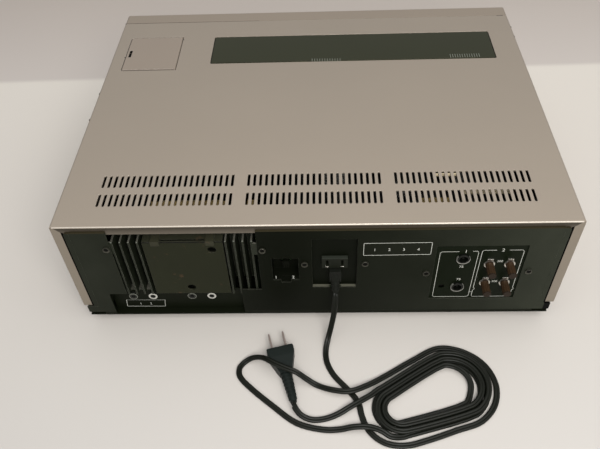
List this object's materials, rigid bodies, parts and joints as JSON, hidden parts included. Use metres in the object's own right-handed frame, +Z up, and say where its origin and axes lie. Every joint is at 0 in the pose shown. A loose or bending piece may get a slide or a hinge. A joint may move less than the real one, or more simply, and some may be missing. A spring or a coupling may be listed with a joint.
{
  "type": "video cassette recorder",
  "caption": "Front-loading video cassette recorder with tape transport, rear sockets, finned heat sink and a coiled mains lead with plug.",
  "frame": {"origin": "on the table under the middle of the recorder, without its mains lead", "axes": "+X towards the display side seen from the front's right hand, +Y to the rear, +Z up; the front with the cassette slot faces -Y"},
  "size_m": [0.433, 0.4626, 0.13],
  "materials": {
    "champagne_paint": "satin",
    "champagne_plastic": "satin",
    "black_paint": "satin",
    "black_aluminium": "black anodised",
    "black_rubber": "matte",
    "lead_sheath": "satin",
    "smoked_plastic": "gloss",
    "black_plastic": "matte",
    "white_plastic": "satin",
    "brown_plastic": "gloss",
    "silver_plastic": "satin",
    "red_plastic": "satin",
    "bright_steel": "plated",
    "dark_screw": "blackened",
    "plated_brass": "nickel plated",
    "deck_steel": "zinc plated",
    "drum_aluminium": "fine turned",
    "reel_plastic": "matte",
    "guide_brass": "machined",
    "board_green": "lacquered",
    "core_steel": "varnished",
    "tuner_tin": "tinned"
  },
  "bodies": {
    "chassis": {"base_pan": "black_paint", "top_cover": "champagne_paint", "front_panel": "champagne_plastic", "rear_panel": "black_paint", "top_window": "smoked_plastic", "preset_tray": "black_plastic", "feet": "black_rubber", "cover_screws": "dark_screw", "rear_screws": "dark_screw", "heat_sink": "black_aluminium", "transistor_plate": "black_paint", "jack_plate": "black_paint", "video_jacks": "black_plastic", "audio_jacks": "white_plastic", "channel_switch_body": "black_plastic", "outlet_plate": "black_paint", "ac_outlet": "black_plastic", "cord_bushing": "black_rubber", "antenna_plate": "black_paint", "coax_sockets": "bright_steel", "terminal_studs": "plated_brass", "cord_lead": "lead_sheath", "cord_coil": "lead_sheath", "cord_tail": "lead_sheath", "plug_body": "lead_sheath", "plug_blades": "plated_brass", "display_window": "smoked_plastic", "deck_plate": "deck_steel", "lower_drum": "drum_aluminium", "capstan_housing": "deck_steel", "tape_heads": "drum_aluminium", "lift_frame": "deck_steel", "main_board": "board_green", "power_transformer": "core_steel", "tuner_module": "tuner_tin"},
    "hatch": {"hatch_lid": "champagne_plastic"},
    "flap": {"cassette_flap": "black_plastic"},
    "slider": {"cassette_slider": "deck_steel"},
    "holder": {"cassette_holder": "deck_steel"},
    "drum": {"upper_drum": "drum_aluminium"},
    "capstan_shaft": {"capstan": "deck_steel"},
    "supply": {"supply_reel": "reel_plastic"},
    "takeup": {"takeup_reel": "reel_plastic"},
    "pinch_lever": {"pinch_arm": "deck_steel"},
    "pinch_wheel": {"pinch_roller": "black_rubber"},
    "guide_left": {"guide_carriage_left": "guide_brass"},
    "guide_right": {"guide_carriage_right": "guide_brass"},
    "channel_knob": {"channel_switch_knob": "black_plastic"},
    "power_button_body": {"power_button": "silver_plastic"},
    "eject_button_body": {"eject_button": "silver_plastic"},
    "rewind_key_body": {"rewind_key": "silver_plastic"},
    "stop_key_body": {"stop_key": "silver_plastic"},
    "play_key_body": {"play_key": "silver_plastic"},
    "forward_key_body": {"forward_key": "silver_plastic"},
    "pause_key_body": {"pause_key": "silver_plastic"},
    "record_key_body": {"record_key": "red_plastic"},
    "cap_1": {"terminal_cap_1": "brown_plastic"},
    "cap_2": {"terminal_cap_2": "brown_plastic"},
    "cap_3": {"terminal_cap_3": "brown_plastic"},
    "cap_4": {"terminal_cap_4": "brown_plastic"}
  },
  "joints": [
    {"name": "hatch_hinge", "type": "hinge", "parent": "chassis", "child": "hatch", "pos_m": [0.1461, -0.092, 0.1274], "axis": [0, -1, 0], "range_deg": [0, 90]},
    {"name": "flap_hinge", "type": "hinge", "parent": "chassis", "child": "flap", "pos_m": [-0.085, -0.1693, 0.1176], "axis": [1, 0, 0], "range_deg": [0, 85], "stiffness_Nm_per_rad": 0.02},
    {"name": "tray_slide", "type": "slide", "parent": "chassis", "child": "slider", "axis": [0, 1, 0], "range_m": [0, 0.075]},
    {"name": "tray_lower", "type": "slide", "parent": "slider", "child": "holder", "axis": [0, 0, -1], "range_m": [0, 0.028]},
    {"name": "drum_spin", "type": "hinge", "parent": "chassis", "child": "drum", "pos_m": [-0.085, 0.025, 0.055], "axis": [-0.1045, 0, 0.9945], "continuous": true},
    {"name": "capstan_spin", "type": "hinge", "parent": "chassis", "child": "capstan_shaft", "pos_m": [-0.021, -0.012, 0.03], "axis": [0, 0, 1], "continuous": true},
    {"name": "supply_reel_spin", "type": "hinge", "parent": "chassis", "child": "supply", "pos_m": [-0.131, -0.08, 0.05], "axis": [0, 0, 1], "continuous": true},
    {"name": "takeup_reel_spin", "type": "hinge", "parent": "chassis", "child": "takeup", "pos_m": [-0.039, -0.08, 0.05], "axis": [0, 0, 1], "continuous": true},
    {"name": "pinch_arm_swing", "type": "hinge", "parent": "chassis", "child": "pinch_lever", "pos_m": [-0.0112, 0.012, 0.05], "axis": [0, 0, -1], "range_deg": [0, 30], "stiffness_Nm_per_rad": 0.02},
    {"name": "pinch_roller_spin", "type": "hinge", "parent": "pinch_lever", "child": "pinch_wheel", "pos_m": [0.0008, -0.00878, 0.062], "axis": [0, 0, 1], "continuous": true},
    {"name": "guide_left_slide", "type": "slide", "parent": "chassis", "child": "guide_left", "axis": [-0.1168, 0.9932, 0], "range_m": [0, 0.068]},
    {"name": "guide_right_slide", "type": "slide", "parent": "chassis", "child": "guide_right", "axis": [0.1168, 0.9932, 0], "range_m": [0, 0.068]},
    {"name": "channel_switch_slide", "type": "slide", "parent": "chassis", "child": "channel_knob", "axis": [1, 0, 0], "range_m": [-0.003, 0.003]},
    {"name": "power_press", "type": "slide", "parent": "chassis", "child": "power_button_body", "axis": [0, 1, 0], "range_m": [0, 0.002], "stiffness_N_per_m": 800},
    {"name": "eject_press", "type": "slide", "parent": "chassis", "child": "eject_button_body", "axis": [0, 1, 0], "range_m": [0, 0.002], "stiffness_N_per_m": 800},
    {"name": "rewind_press", "type": "slide", "parent": "chassis", "child": "rewind_key_body", "axis": [0, 1, 0], "range_m": [0, 0.002], "stiffness_N_per_m": 800},
    {"name": "stop_press", "type": "slide", "parent": "chassis", "child": "stop_key_body", "axis": [0, 1, 0], "range_m": [0, 0.002], "stiffness_N_per_m": 800},
    {"name": "play_press", "type": "slide", "parent": "chassis", "child": "play_key_body", "axis": [0, 1, 0], "range_m": [0, 0.002], "stiffness_N_per_m": 800},
    {"name": "forward_press", "type": "slide", "parent": "chassis", "child": "forward_key_body", "axis": [0, 1, 0], "range_m": [0, 0.002], "stiffness_N_per_m": 800},
    {"name": "pause_press", "type": "slide", "parent": "chassis", "child": "pause_key_body", "axis": [0, 1, 0], "range_m": [0, 0.002], "stiffness_N_per_m": 800},
    {"name": "record_press", "type": "slide", "parent": "chassis", "child": "record_key_body", "axis": [0, 1, 0], "range_m": [0, 0.002], "stiffness_N_per_m": 800},
    {"name": "terminal_1_turn", "type": "hinge", "parent": "chassis", "child": "cap_1", "pos_m": [-0.1478, 0.167, 0.0775], "axis": [0, 1, 0], "continuous": true},
    {"name": "terminal_2_turn", "type": "hinge", "parent": "chassis", "child": "cap_2", "pos_m": [-0.1648, 0.167, 0.0775], "axis": [0, 1, 0], "continuous": true},
    {"name": "terminal_3_turn", "type": "hinge", "parent": "chassis", "child": "cap_3", "pos_m": [-0.1478, 0.167, 0.0527], "axis": [0, 1, 0], "continuous": true},
    {"name": "terminal_4_turn", "type": "hinge", "parent": "chassis", "child": "cap_4", "pos_m": [-0.1648, 0.167, 0.0527], "axis": [0, 1, 0], "continuous": true}
  ],
  "couplings": [
    {"joint": "guide_right_slide", "follows": "guide_left_slide", "ratio": 1}
  ]
}
